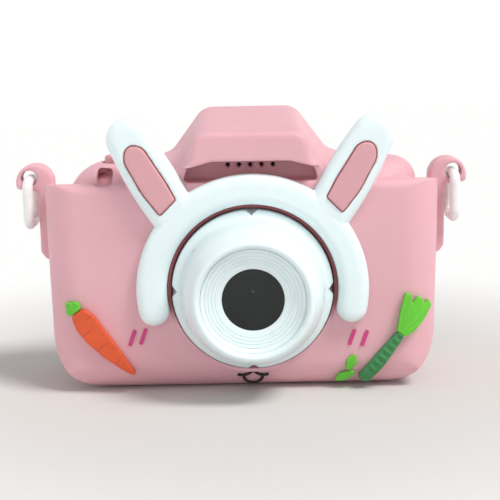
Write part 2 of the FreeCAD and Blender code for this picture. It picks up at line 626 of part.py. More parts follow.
# ---- lens ----
def lens_barrel():
    """Flange and barrel, hollow behind, with a bored front that seats the trim ring."""
    shelf = DISH_Y + WINDOW_THICK + 3.6
    inner = BARREL_R - BARREL_WALL
    profile = [
        (inner, SHELL_FRONT - 0.05), (BARREL_R, SHELL_FRONT - 0.05), (BARREL_R, RIM_Y + 0.5),
        (BARREL_R - 0.4, RIM_Y), (SHOULDER_R + 0.5, RIM_Y - 0.9), (SHOULDER_R, RIM_Y - 1.5),
        (SHOULDER_R - 0.35, RIM_Y - 4.0), (SHOULDER_R - 1.1, RIM_Y - 7.5), (SHOULDER_R - 2.1, RIM_Y - 10.5),
        (LIP_R + 0.9, LIP_Y + 1.2), (LIP_R + 0.4, LIP_Y + 0.3), (LIP_R - 0.1, LIP_Y),
        (TRIM_R + 0.5, LIP_Y + 0.15), (TRIM_R + 0.05, LIP_Y + 0.5),
        (TRIM_R + 0.05, shelf), (TRIM_R - 3.3, shelf), (TRIM_R - 3.3, shelf + 1.2),
        (SHOULDER_R - 3.9, shelf + 1.2), (SHOULDER_R - 2.6, RIM_Y - 1.0), (inner, RIM_Y + 0.8),
    ]
    barrel = turned(profile)
    half = RIM_NOTCH_WIDTH / 2
    cut = [(0, 0, 0.2), (half * 2, RIM_NOTCH_DEPTH * 2, 0), (-half * 2, RIM_NOTCH_DEPTH * 2, 0)]
    cut = prism(cut, "xz", RIM_Y - 3, RIM_Y + 2)
    notches = []
    for i in range(RIM_NOTCHES):
        piece = cut.copy()
        piece.translate(V(0, 0, BARREL_R - RIM_NOTCH_DEPTH))
        piece.rotate(V(0, 0, 0), V(0, 1, 0), i * 360 / RIM_NOTCHES)
        piece.translate(V(LENS_X, 0, LENS_Z))
        notches.append(piece)
    return barrel.cut(notches)


def lens_trim_ring():
    """A stepped dish that frames the window and holds it from behind."""
    shelf = DISH_Y + WINDOW_THICK + 3.6
    step_r = (TRIM_R - 0.2 - WINDOW_R) / DISH_STEPS
    step_y = (DISH_DEPTH - 0.5) / DISH_STEPS
    profile = [(TRIM_R, shelf - 0.02), (TRIM_R, LIP_Y + 0.5)]
    for i in range(DISH_STEPS):
        r, y = TRIM_R - 0.2 - i * step_r, LIP_Y + 0.5 + i * step_y
        profile += [(r, y), (r - step_r + 0.25, y + 0.15), (r - step_r + 0.1, y + step_y)]
    profile += [(WINDOW_R, DISH_Y), (WINDOW_R, DISH_Y + 0.4), (WINDOW_R + 0.6, DISH_Y + 0.4),
                (WINDOW_R + 0.6, shelf - 0.02)]
    return turned(profile)


def lens_window():
    return disc(*LENS_AXIS, WINDOW_R + 0.5, DISH_Y + 0.4, DISH_Y + 0.4 + WINDOW_THICK)


def lens_bracket():
    """A disc behind the barrel's shelf, which carries the front camera module."""
    y = DISH_Y + WINDOW_THICK + 4.8
    slot = box(LENS_X - 3.2, LENS_X + 3.2, y - 1, y + 3, LENS_Z - 4.6, LENS_Z - 3.4)
    return disc(*LENS_AXIS, SHOULDER_R - 4.0, y + 0.05, y + 1.25).cut(slot)


def camera_module(x, z, y0, facing):
    """A square sensor block with a lens barrel that faces along Y."""
    half = MODULE / 2
    y1 = y0 + facing * MODULE_THICK
    block_part = box(x - half, x + half, min(y0, y1), max(y0, y1), z - half, z + half)
    y2 = y1 + facing * 1.5
    return joined([block_part, disc(x, z, 3.2, min(y1, y2), max(y1, y2))])


def front_module_seat():
    return DISH_Y + WINDOW_THICK + 4.8


def front_camera_lens():
    y = front_module_seat() - MODULE_THICK - 1.5
    ball = Part.makeSphere(2.4, V(LENS_X, y + 1.8, LENS_Z + 1.6))
    return ball.common(disc(LENS_X, LENS_Z + 1.6, 1.6, y - 3, y))


def front_camera_flex():
    """A flat cable from the front camera module to the main board."""
    y = front_module_seat() + 1.25
    low = LENS_Z - 4.1
    path = [(y - 1.2, low, 0), (BOARD_Y - 1.2, low, 0), (BOARD_Y - 1.2, low + 0.2, 0),
            (y - 1.2, low + 0.2, 0)]
    strip = prism(path, "yz", LENS_X - 3, LENS_X + 3)
    plug = box(LENS_X - 3.6, LENS_X + 3.6, BOARD_Y - 1.2, BOARD_Y - 0.02, low - 1.0, low + 1.2)
    return joined([strip, plug])


# ---- shells ----
def boss_places():
    return [(x, z) for x in (-BOSS_X, BOSS_X) for z in (BOSS_LOW_Z, BOSS_HIGH_Z)]


def shelf_for(x, y):
    """The rib under a top button's board, kept off the main board."""
    return box(x - 5, x + 5, ROOM_FRONT - 0.3, min(y + 2, BOARD_Y - 0.4), DECK_BOARD_Z - 1.5, DECK_BOARD_Z)


def front_shell(camera, cavity):
    front_half = box(-FAR, FAR, -FAR, SPLIT, -FAR, FAR)
    skin = camera.common(front_half).cut(cavity)
    bosses = [disc(x, z, BOSS_R, ROOM_FRONT - 0.5, SPLIT) for x, z in boss_places()]
    posts = [disc(x, z, POST_R, ROOM_FRONT - 0.5, BOARD_Y - 0.02) for x, z in BOARD_POSTS]
    shelves = [shelf_for(LEFT_X, 0), shelf_for(POWER_X, POWER_Y)]
    inner = BARREL_R - BARREL_WALL - 0.1
    socket = disc(*LENS_AXIS, inner, RIM_Y + 1.6, ROOM_FRONT)
    solids = [skin, socket] + [b.common(camera) for b in bosses + posts + shelves]
    whole = joined(solids)
    groove = body_form(CAVITY - TONGUE_THICK - 0.1)
    groove = groove.common(box(-FAR, FAR, SPLIT - TONGUE - 0.1, SPLIT + 1, -FAR, FAR))
    kept = joined([disc(x, z, BOSS_R, -FAR, FAR) for x, z in boss_places()]
                  + [disc(x, z, POST_R, -FAR, FAR) for x, z in BOARD_POSTS] + shelves)
    cuts = [
        groove.cut(kept),
        disc(*LENS_AXIS, inner - SOCKET_WALL, -FAR, ROOM_FRONT + 1),
        drum(LEFT_X, 0, SHUTTER_R + KEY_GAP, LEFT_TOP - 8, FAR),
        drum(POWER_X, POWER_Y, POWER_R + KEY_GAP, RIGHT_TOP - 8, FAR),
        *sound_holes(SOUND_R - 0.1),
        *[disc(x, z, SCREW_R + 0.02, SPLIT - SCREW_BITE - 0.5, FAR) for x, z in boss_places()],
        *[disc(x, z, SCREW_R + 0.02, BOARD_Y - 5.5, FAR) for x, z in BOARD_POSTS],
    ]
    return carved(whole, cuts)


def rear_shell(camera, cavity):
    rear_half = box(-FAR, FAR, SPLIT, FAR, -FAR, FAR)
    skin = camera.common(rear_half).cut(cavity)
    tongue = body_form(CAVITY - TONGUE_THICK).cut(cavity)
    tongue = tongue.common(box(-FAR, FAR, SPLIT - TONGUE, SPLIT + 0.5, -FAR, FAR))
    bosses = [disc(x, z, BOSS_R, SPLIT, ROOM_BACK + 0.5).common(camera) for x, z in boss_places()]
    near_bosses = [disc(x, z, BOSS_R + 0.15, -FAR, SPLIT) for x, z in boss_places()]
    shelves = [shelf_for(LEFT_X, 0), shelf_for(POWER_X, POWER_Y)]
    whole = joined([skin, tongue.cut(near_bosses + shelves), *bosses])
    pane = rectangle(LCD_X - PANE_WIDTH / 2, LCD_X + PANE_WIDTH / 2,
                     LCD_Z - PANE_HEIGHT / 2, LCD_Z + PANE_HEIGHT / 2, 2.5)
    view = rectangle(LCD_X - VIEW_WIDTH / 2, LCD_X + VIEW_WIDTH / 2,
                     LCD_Z - VIEW_HEIGHT / 2, LCD_Z + VIEW_HEIGHT / 2, 0.5)
    head_y = SHELL_BACK - SCREW_HEAD - SCREW_SUNK
    cuts = [
        prism(pane, "xz", SHELL_BACK - PANE_THICK, FAR),
        prism(view, "xz", ROOM_BACK - 1, FAR),
        *[disc(x, z, KEY_R + KEY_GAP, ROOM_BACK - 1, FAR) for x, z in key_places().values()],
        *[disc(x, z, SCREW_R + SCREW_CLEARANCE, -FAR, FAR) for x, z in boss_places()],
        *[disc(x, z, SCREW_HEAD_R + SCREW_CLEARANCE, head_y, FAR) for x, z in boss_places()],
        disc(LENS_X, SELFIE_Z, SELFIE_R, SHELL_BACK - 1.0, FAR),
        disc(LENS_X, SELFIE_Z, SELFIE_R - 1.0, ROOM_BACK - 1, FAR),
        drum(LEFT_X, 0, SHUTTER_R + KEY_GAP, LEFT_TOP - 8, FAR),
        drum(POWER_X, POWER_Y, POWER_R + KEY_GAP, RIGHT_TOP - 8, FAR),
        disc(*LIGHT_PLACE, LIGHT_R + 0.1, ROOM_BACK - 1, FAR),
        prism(usb_outline(0.2), "xy", 0, CAVITY + 1),
        prism(card_outline(0.3), "xy", 0, CAVITY + 1),
    ]
    return carved(whole, cuts)


def usb_outline(gap):
    return rectangle(USB_X - USB_WIDTH / 2 - gap, USB_X + USB_WIDTH / 2 + gap,
                     BOARD_Y - 0.02 - USB_THICK - gap, BOARD_Y - 0.02 + gap, 0.8)


def card_outline(gap):
    middle = BOARD_Y - 0.02 - SOCKET_THICK / 2
    return rectangle(CARD_X - CARD_WIDTH / 2 - gap, CARD_X + CARD_WIDTH / 2 + gap,
                     middle - CARD_THICK / 2 - gap, middle + CARD_THICK / 2 + gap)


# ---- buttons ----
def key_places():
    return {
        "up": (PAD_X, PAD_Z + PAD_PITCH), "down": (PAD_X, PAD_Z - PAD_PITCH),
        "left": (PAD_X + PAD_PITCH, PAD_Z), "right": (PAD_X - PAD_PITCH, PAD_Z),
        "ok": (PAD_X, PAD_Z),
    }


def key_switch_top():
    """Y of a rear switch's plunger."""
    return BOARD_Y + BOARD_THICK + SWITCH_BODY + 0.5


def rear_key(x, z):
    """A button of the rear pad: cap, flange behind the shell, and stem."""
    cap = disc(x, z, KEY_R, ROOM_BACK - 0.1, SHELL_BACK + KEY_PROUD)
    crown = [e for e in cap.Edges if e.BoundBox.YMin > SHELL_BACK + KEY_PROUD - 0.01]
    cap = cap.makeFillet(0.5, crown)
    flange = disc(x, z, PAD_PITCH / 2 - 0.1, ROOM_BACK - 0.1 - FLANGE, ROOM_BACK - 0.1)
    stem = disc(x, z, 1.4, key_switch_top() + KEY_TRAVEL + 0.05, ROOM_BACK - 0.1 - FLANGE)
    return joined([cap, flange, stem])


def deck_key(x, y, r, top, flange_top, travel):
    """A button on the top of the camera: a dished cap, a flange under the shell, and a stem."""
    cap = drum(x, y, r, flange_top - 0.01, top)
    crown = [e for e in cap.Edges if e.BoundBox.ZMin > top - 0.01]
    cap = cap.makeFillet(0.7, crown)
    flange = drum(x, y, r + 1.0, flange_top - FLANGE, flange_top)
    stem = drum(x, y, 1.6, DECK_BOARD_Z + BOARD_THICK + SWITCH_BODY + 0.5 + travel + 0.05, flange_top)
    dish = Part.makeSphere(r * 4, V(x, y, top + r * 4 - 0.35))
    return joined([cap, flange, stem]).cut(dish)


def shutter_flange_top():
    """The highest that the shutter's flange can sit inside the rounded shoulder."""
    rounding = LEFT_ROUND - CAVITY
    past_flat = SHUTTER_R + 1.0 - (LEFT_R - CAVITY - rounding)
    return LEFT_TOP - CAVITY - rounding + math.sqrt(rounding ** 2 - past_flat ** 2) - 0.2


def shutter_button():
    return deck_key(LEFT_X, 0, SHUTTER_R, SHUTTER_TOP, shutter_flange_top(), SHUTTER_TRAVEL)


def power_button():
    return deck_key(POWER_X, POWER_Y, POWER_R, POWER_TOP, RIGHT_TOP - CAVITY - 0.3, POWER_TRAVEL)


def tact_switch_up(x, y):
    """A square switch with a round plunger, on a board under a top button."""
    z = DECK_BOARD_Z + BOARD_THICK
    return joined([box(x - 2.6, x + 2.6, y - 2.6, y + 2.6, z, z + SWITCH_BODY),
                   drum(x, y, 1.4, z + SWITCH_BODY, z + SWITCH_BODY + 0.5)])


def deck_board(x, y):
    return box(x - 4, x + 4, y - 4, y + 4, DECK_BOARD_Z + 0.02, DECK_BOARD_Z + BOARD_THICK)


def rear_switches():
    y = BOARD_Y + BOARD_THICK
    found = []
    for x, z in key_places().values():
        body = box(x - 2.2, x + 2.2, y, y + SWITCH_BODY, z - 2.2, z + 2.2)
        found.append(joined([body, disc(x, z, 1.2, y + SWITCH_BODY, y + SWITCH_BODY + 0.5)]))
    return Part.makeCompound(found)


# ---- screen ----
def screen_window():
    gap = 0.1
    shape = rectangle(LCD_X - PANE_WIDTH / 2 + gap, LCD_X + PANE_WIDTH / 2 - gap,
                      LCD_Z - PANE_HEIGHT / 2 + gap, LCD_Z + PANE_HEIGHT / 2 - gap, 2.4)
    return prism(shape, "xz", SHELL_BACK - PANE_THICK + 0.01, SHELL_BACK)


def lcd_box(y0, y1, trim=0.0):
    return box(LCD_X - LCD_WIDTH / 2 + trim, LCD_X + LCD_WIDTH / 2 - trim, y0, y1,
               LCD_Z - LCD_HEIGHT / 2 + trim, LCD_Z + LCD_HEIGHT / 2 - trim)


def lcd_layers():
    """Gasket, panel and backlight, stacked forwards from the rear shell's wall."""
    back = ROOM_BACK - 0.02
    gasket = lcd_box(back - GASKET, back)
    gasket = gasket.cut(box(LCD_X - VIEW_WIDTH / 2, LCD_X + VIEW_WIDTH / 2, -FAR, FAR,
                            LCD_Z - VIEW_HEIGHT / 2, LCD_Z + VIEW_HEIGHT / 2))
    panel = lcd_box(back - GASKET - LCD_THICK, back - GASKET)
    light = lcd_box(back - GASKET - LCD_THICK - BACKLIGHT, back - GASKET - LCD_THICK)
    return gasket, panel, light


def lcd_flex():
    """A flat cable from the back of the screen to the main board."""
    back = ROOM_BACK - 0.02 - GASKET - LCD_THICK - BACKLIGHT
    y = BOARD_Y + BOARD_THICK
    strip = box(LCD_X - 8, LCD_X + 8, back - 0.2, back, LCD_Z - 12, LCD_Z)
    drop = box(LCD_X - 8, LCD_X + 8, y + 1.0, back - 0.2, LCD_Z - 12, LCD_Z - 11.8)
    plug = box(LCD_X - 9, LCD_X + 9, y, y + 1.0, LCD_Z - 13.5, LCD_Z - 10.5)
    return joined([strip, drop, plug])


# ---- electronics ----
def main_board():
    plate = box(-BOARD_HALF, BOARD_HALF, BOARD_Y, BOARD_Y + BOARD_THICK, BOARD_LOW, BOARD_HIGH)
    return plate.cut([disc(x, z, SCREW_R + 0.15, -FAR, FAR) for x, z in BOARD_POSTS])


def processor_chip():
    return box(10, 22, BOARD_Y - 1.2, BOARD_Y - 0.01, 18, 30)


def board_components():
    """Memory, power coil and two rows of small parts on the front of the main board."""
    y = BOARD_Y - 0.01
    parts = [box(-16, -10, y - 0.9, y, 28, 34), box(28, 32, y - 1.6, y, 20, 24)]
    parts += [box(11 + 2.2 * i, 12.4 + 2.2 * i, y - 0.6, y, 14.6, 15.4) for i in range(5)]
    parts += [box(-33 + 2.2 * i, -31.6 + 2.2 * i, y - 0.6, y, 8.6, 9.4) for i in range(6)]
    return Part.makeCompound(parts)


def microphone():
    return disc(7.5, 12.0, 2.0, BOARD_Y - 1.3, BOARD_Y - 0.01)


def usb_port():
    y1 = BOARD_Y - 0.02
    z0 = CAMERA + 0.2
    shape = usb_outline(0)
    can = prism(shape, "xy", z0, z0 + USB_LENGTH)
    hollow = prism(moved_in(shape, 0.3), "xy", z0 - 1, z0 + USB_LENGTH - 0.6)
    tab = box(USB_X - 2.6, USB_X + 2.6, y1 - USB_THICK * 0.45, y1 - USB_THICK * 0.25, z0 + 0.8,
              z0 + USB_LENGTH - 0.3)
    return joined([can.cut(hollow), tab])


def card_socket():
    y1 = BOARD_Y - 0.02
    z0 = CAVITY + 0.6
    shell = box(CARD_X - SOCKET_WIDTH / 2, CARD_X + SOCKET_WIDTH / 2, y1 - SOCKET_THICK, y1, z0,
                z0 + SOCKET_LENGTH)
    pocket = prism(card_outline(CARD_GAP), "xy", z0 - 1, CAMERA + CARD_LENGTH + 0.6)
    return shell.cut(pocket)


def memory_card():
    return prism(card_outline(0), "xy", CAMERA + 0.2, CAMERA + 0.2 + CARD_LENGTH)


def battery():
    width, thick, height = BATTERY
    shape = rectangle(BATTERY_X, BATTERY_X + width, BATTERY_Z, BATTERY_Z + height, 1.5)
    return prism(shape, "xz", ROOM_FRONT + 1.0, ROOM_FRONT + 1.0 + thick)


def battery_pad():
    """Foam tape between the battery and the front shell."""
    width, thick, height = BATTERY
    return box(BATTERY_X + 2, BATTERY_X + width - 2, ROOM_FRONT, ROOM_FRONT + 1.0,
               BATTERY_Z + 2, BATTERY_Z + height - 2)


def speaker():
    width, thick, height = SPEAKER
    y0 = FACE_Y + RECESS_DEPTH + CAVITY + 0.05
    frame = box(LENS_X - width / 2, LENS_X + width / 2, y0, y0 + thick * 0.6, 48.0, 48.0 + height)
    magnet = disc(LENS_X, 48.0 + height / 2, height * 0.38, y0 + thick * 0.6, y0 + thick)
    return joined([frame, magnet])


def screws(places, y_head, head, shank):
    """Pan-head screws along Y with their heads at the back."""
    found = []
    for x, z in places:
        cap = disc(x, z, SCREW_HEAD_R, y_head - head, y_head)
        slot = [box(x - 1.2, x + 1.2, y_head - 0.5, y_head + 1, z - 0.2, z + 0.2),
                box(x - 0.2, x + 0.2, y_head - 0.5, y_head + 1, z - 1.2, z + 1.2)]
        found.append(joined([cap, disc(x, z, SCREW_R, y_head - head - shank, y_head - head)]).cut(slot))
    return Part.makeCompound(found)


def strap_ring(side):
    """A rounded rectangle of round wire, hanging in the YZ plane from the eyelet."""
    x, top = side * (HALF + LUG_REACH), RING_TOP
    shape = rectangle(-RING_HALF_WIDTH, RING_HALF_WIDTH, top - RING_DROP, top, RING_CORNER)
    path = outline_wire(shape, "yz", x)
    section = Part.Wire(Part.makeCircle(RING_WIRE, V(x, 0, top), V(0, 1, 0)))
    edges = path.Edges
    start = max(range(len(edges)), key=lambda i: edges[i].BoundBox.ZMin)
    halves = edges[start].split((edges[start].FirstParameter + edges[start].LastParameter) / 2).Edges
    ordered = Part.Wire([halves[1], *edges[start + 1:], *edges[:start], halves[0]])
    return ordered.makePipeShell([section], True, False)


def main():
    os.makedirs("parts", exist_ok=True)
    form, camera, cavity = body_form(0), body_form(CAMERA), cavity_form()
    gasket, panel, light = lcd_layers()
    selfie_y = ROOM_BACK - 0.1 - MODULE_THICK - 1.5
    parts = {
        "silicone_sleeve": sleeve(form.copy(), camera.copy()),
        "bunny_band": bunny_band(),
        "ear_inlay_left": ear_inlay(-1),
        "ear_inlay_right": ear_inlay(1),
        "carrot_root": carrot_root(form),
        "carrot_leaves": carrot_leaves(form),
        "leek_stem": leek_stem(form),
        "leek_leaves": leek_leaves(form),
        "sprout_leaves": sprout_leaves(form),
        "cheek_marks": cheek_marks(form),
        "mouth_line": mouth_line(form),
        "front_shell": front_shell(camera.copy(), cavity.copy()),
        "rear_shell": rear_shell(camera.copy(), cavity.copy()),
        "lens_barrel": lens_barrel(),
        "lens_trim_ring": lens_trim_ring(),
        "lens_window": lens_window(),
        "lens_bracket": lens_bracket(),
        "front_camera_module": camera_module(LENS_X, LENS_Z + 1.6, front_module_seat(), -1),
        "front_camera_lens": front_camera_lens(),
        "front_camera_flex": front_camera_flex(),
        "selfie_camera_module": camera_module(LENS_X, SELFIE_Z, selfie_y, 1),
        "selfie_window": disc(LENS_X, SELFIE_Z, SELFIE_R - 0.1, SHELL_BACK - 0.98, SHELL_BACK),
        "main_board": main_board(),
        "processor_chip": processor_chip(),
        "board_components": board_components(),
        "microphone": microphone(),
        "usb_port": usb_port(),
        "card_socket": card_socket(),
        "memory_card": memory_card(),
        "rear_switches": rear_switches(),
        "shutter_switch": tact_switch_up(LEFT_X, 0),
        "shutter_switch_board": deck_board(LEFT_X, 0),
        "power_switch": tact_switch_up(POWER_X, POWER_Y),
        "power_switch_board": deck_board(POWER_X, POWER_Y),
        "shutter_button": shutter_button(),
        "power_button": power_button(),
        "screen_window": screen_window(),
        "lcd_gasket": gasket,
        "lcd_panel": panel,
        "lcd_backlight": light,
        "lcd_flex": lcd_flex(),
        "status_light": disc(*LIGHT_PLACE, LIGHT_R, ROOM_BACK - 0.5, SHELL_BACK),
        "battery": battery(),
        "battery_pad": battery_pad(),
        "speaker": speaker(),
        "case_screws": screws(boss_places(), SHELL_BACK - SCREW_SUNK, SCREW_HEAD,
                              SHELL_BACK - SCREW_SUNK - SCREW_HEAD - SPLIT + SCREW_BITE),
        "board_screws": screws(BOARD_POSTS, BOARD_Y + BOARD_THICK + SCREW_HEAD + 0.01, SCREW_HEAD, 6.0),
        "strap_ring_left": strap_ring(-1),
        "strap_ring_right": strap_ring(1),
    }
    for name, (x, z) in key_places().items():
        parts[name + "_button"] = rear_key(x, z)
    for name, shape in parts.items():
        shape.exportStep(f"parts/{name}.step")
        flaw = "" if shape.isValid() and shape.Volume > 0 else "  INVALID"
        print(f"{name:22} solids {len(shape.Solids)}  volume {shape.Volume:9.1f}{flaw}")


main()
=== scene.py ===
"""Looks for the children's digital camera in its rabbit sleeve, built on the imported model."""

import json
import math

import bmesh
import bpy
import numpy as np
from mathutils import Matrix, Vector


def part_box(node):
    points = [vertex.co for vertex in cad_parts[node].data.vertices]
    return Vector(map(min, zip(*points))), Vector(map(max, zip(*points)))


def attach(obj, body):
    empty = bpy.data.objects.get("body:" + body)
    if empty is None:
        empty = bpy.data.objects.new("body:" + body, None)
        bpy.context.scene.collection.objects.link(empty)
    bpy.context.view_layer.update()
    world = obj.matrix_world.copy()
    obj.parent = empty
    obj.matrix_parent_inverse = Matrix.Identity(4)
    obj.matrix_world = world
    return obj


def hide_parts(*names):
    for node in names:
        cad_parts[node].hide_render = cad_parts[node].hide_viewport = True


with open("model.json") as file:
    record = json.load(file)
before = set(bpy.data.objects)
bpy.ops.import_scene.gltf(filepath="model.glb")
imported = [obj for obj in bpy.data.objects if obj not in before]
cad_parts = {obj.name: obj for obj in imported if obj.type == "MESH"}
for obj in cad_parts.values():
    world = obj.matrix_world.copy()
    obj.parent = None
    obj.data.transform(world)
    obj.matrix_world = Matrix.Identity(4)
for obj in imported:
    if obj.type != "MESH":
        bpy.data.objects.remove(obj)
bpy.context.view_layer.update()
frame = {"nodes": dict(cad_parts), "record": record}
nodes = frame["nodes"]
scene = bpy.context.scene
MM = 0.001


def mm(*values):
    return Vector([v * MM for v in values])


def middle(node):
    low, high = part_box(node)
    return (low + high) / 2


# ---------------------------------------------------------------- camera, floor and lights
CAMERA_RISE = 10.0         # degrees above the horizontal
CAMERA_ROLL = 1.1
CAMERA_DISTANCE = 300.0    # mm from its target
CAMERA_TARGET = (0.0, 0.0, 32.0)
LENS_MM, SENSOR_MM = 87.8, 36.0
SHIFT = (0.0151, -0.0038)


def look(location, target, roll=0.0):
    """A matrix for something that looks from location to target along its own -Z."""
    back = (location - target).normalized()
    right = Vector((0, 0, 1)).cross(back).normalized()
    up = back.cross(right)
    c, s = math.cos(roll), math.sin(roll)
    right, up = right * c - up * s, right * s + up * c
    turn = Matrix((right, up, back)).transposed().to_4x4()
    return Matrix.Translation(location) @ turn


def add_camera():
    data = bpy.data.cameras.new("camera")
    data.lens, data.sensor_width = LENS_MM, SENSOR_MM
    data.clip_start, data.clip_end = 0.01, 20.0
    data.shift_x, data.shift_y = SHIFT
    obj = bpy.data.objects.new("camera", data)
    scene.collection.objects.link(obj)
    target = mm(*CAMERA_TARGET)
    rise = math.radians(CAMERA_RISE)
    back = Vector((0, -math.cos(rise), math.sin(rise)))
    obj.matrix_world = look(target + back * CAMERA_DISTANCE * MM, target, math.radians(CAMERA_ROLL))
    scene.camera = obj


def add_area(name, location, target, size, power, colour):
    data = bpy.data.lights.new(name, "AREA")
    data.shape, data.size, data.size_y = "RECTANGLE", size[0], size[1]
    data.energy, data.color = power, colour
    obj = bpy.data.objects.new(name, data)
    scene.collection.objects.link(obj)
    obj.matrix_world = look(Vector(location), Vector(target))


def add_sun(name, direction, strength, softness, colour):
    data = bpy.data.lights.new(name, "SUN")
    data.energy, data.color, data.angle = strength, colour, math.radians(softness)
    obj = bpy.data.objects.new(name, data)
    scene.collection.objects.link(obj)
    obj.matrix_world = look(Vector(direction), Vector((0, 0, 0)))


def add_lights():
    """A wide soft key from the upper right, and a weak strip from the left."""
    add_sun("key", (0.60, -0.36, 1.0), 2.35, 20.0, (1.0, 0.985, 0.965))
    add_area("strip", (-0.45, -0.60, 0.40), (0, 0, 0.03), (0.10, 0.5), 0.35, (0.94, 0.98, 1.0))


FLOOR_R = 3.0              # metres
WALL_R, WALL_TOP = 4.4, 1.4
PALE = 0.84                # floor, away from the object
# painted shade: the floor's tone close to the object, which reads as a soft shadow round it
UNDERFOOT_SHADE = (0.64, 0.62, 0.605)


def stage_piece(name, profile, turns, colour, glow):
    """Part of a wide round bowl about Z, from (radius, height) points."""
    bm = bmesh.new()
    rings = []
    for r, z in profile:
        angles = [2 * math.pi * k / turns for k in range(turns)] if r else [0.0]
        rings.append([bm.verts.new((r * math.cos(t), r * math.sin(t), z)) for t in angles])
    for low, high in zip(rings, rings[1:]):
        for k in range(turns):
            n = (k + 1) % turns
            inner = [low[0]] if len(low) == 1 else [low[n], low[k]]
            bm.faces.new([*inner, high[k], high[n]])
    mesh = bpy.data.meshes.new(name)
    bm.to_mesh(mesh)
    bm.free()
    for p in mesh.polygons:
        p.use_smooth = True
    obj = bpy.data.objects.new(name, mesh)
    scene.collection.objects.link(obj)
    mat = bpy.data.materials.new(name)
    mat.use_nodes = True
    shader = mat.node_tree.nodes["Principled BSDF"]
    shader.inputs["Base Color"].default_value = (*colour, 1)
    shader.inputs["Roughness"].default_value = 0.85
    shader.inputs["Specular IOR Level"].default_value = 0.1
    shader.inputs["Emission Color"].default_value = (1.0, 1.0, 1.0, 1)
    shader.inputs["Emission Strength"].default_value = glow
    mesh.materials.append(mat)
    return mat


def painted_floor_shade(mat, shade_tone, low, high):
    """Painted shade on the floor: fades it to a deeper tone close to the object, a soft pool of shadow round
    it, so that less light comes back up on it.
    """
    tree = mat.node_tree
    shader = tree.nodes["Principled BSDF"]
    place = tree.nodes.new("ShaderNodeTexCoord").outputs["Object"]
    reach = tree.nodes.new("ShaderNodeVectorMath")
    reach.operation = "LENGTH"
    tree.links.new(place, reach.inputs[0])
    fade = tree.nodes.new("ShaderNodeMapRange")
    fade.interpolation_type = "SMOOTHSTEP"
    fade.inputs["From Min"].default_value, fade.inputs["From Max"].default_value = low, high
    tree.links.new(reach.outputs["Value"], fade.inputs["Value"])
    mix = tree.nodes.new("ShaderNodeMix")
    mix.data_type = "RGBA"
    tree.links.new(fade.outputs["Result"], mix.inputs["Factor"])
    mix.inputs["A"].default_value = (*shade_tone, 1)
    mix.inputs["B"].default_value = shader.inputs["Base Color"].default_value
    tree.links.new(mix.outputs["Result"], shader.inputs["Base Color"])


def add_stage():
    """A pale floor that curves up, far away on every side."""
    bend = np.linspace(0, math.pi / 2, 10)
    wall = [(FLOOR_R + (WALL_R - FLOOR_R) * math.sin(t), WALL_TOP * (1 - math.cos(t))) for t in bend]
    floor = stage_piece("floor", [(0.0, 0.0), (FLOOR_R, 0.0)], 96, (PALE, PALE, PALE), 0.0)
    # painted shade on the floor round the object's foot
    painted_floor_shade(floor, UNDERFOOT_SHADE, 0.05, 0.15)
    stage_piece("backdrop", wall, 96, (0.74, 0.74, 0.74), 0.38)


def add_world():
    """A light tent that is brightest overhead."""
    world = bpy.data.worlds.new("tent")
    world.use_nodes = True
    tree = world.node_tree
    back = tree.nodes["Background"]
    where = tree.nodes.new("ShaderNodeTexCoord").outputs["Generated"]
    split = tree.nodes.new("ShaderNodeSeparateXYZ")
    tree.links.new(where, split.inputs["Vector"])
    height = tree.nodes.new("ShaderNodeMapRange")
    height.inputs["From Min"].default_value, height.inputs["From Max"].default_value = 0.0, 0.9
    height.inputs["To Min"].default_value, height.inputs["To Max"].default_value = 0.22, 0.62
    tree.links.new(split.outputs["Z"], height.inputs["Value"])
    tree.links.new(height.outputs["Result"], back.inputs["Strength"])
    back.inputs["Color"].default_value = (0.975, 0.99, 1.0, 1)
    scene.world = world
    scene.view_settings.view_transform = "Standard"
    scene.view_settings.look = "None"


